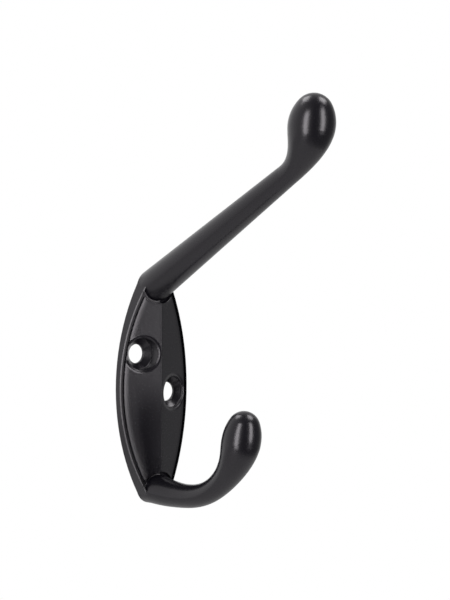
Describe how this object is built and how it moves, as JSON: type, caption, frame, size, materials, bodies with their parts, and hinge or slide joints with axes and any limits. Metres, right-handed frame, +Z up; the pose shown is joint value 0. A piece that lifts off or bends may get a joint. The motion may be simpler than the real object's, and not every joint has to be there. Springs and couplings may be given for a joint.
{
  "type": "coat hook",
  "caption": "Wall-mounted hat and coat hook: a lens-shaped ridged back plate with a long straight upper arm and a short curved lower hook, both with egg-shaped ends.",
  "frame": {"origin": "centre of the plate's flat back face, on the wall", "axes": "+Z up, +X to the right for someone facing the wall, -Y out into the room"},
  "size_m": [0.0204, 0.0615, 0.0959],
  "materials": {
    "black_coating": "satin black powder coating"
  },
  "bodies": {
    "root": {"coat_hook": "black_coating"}
  },
  "joints": []
}
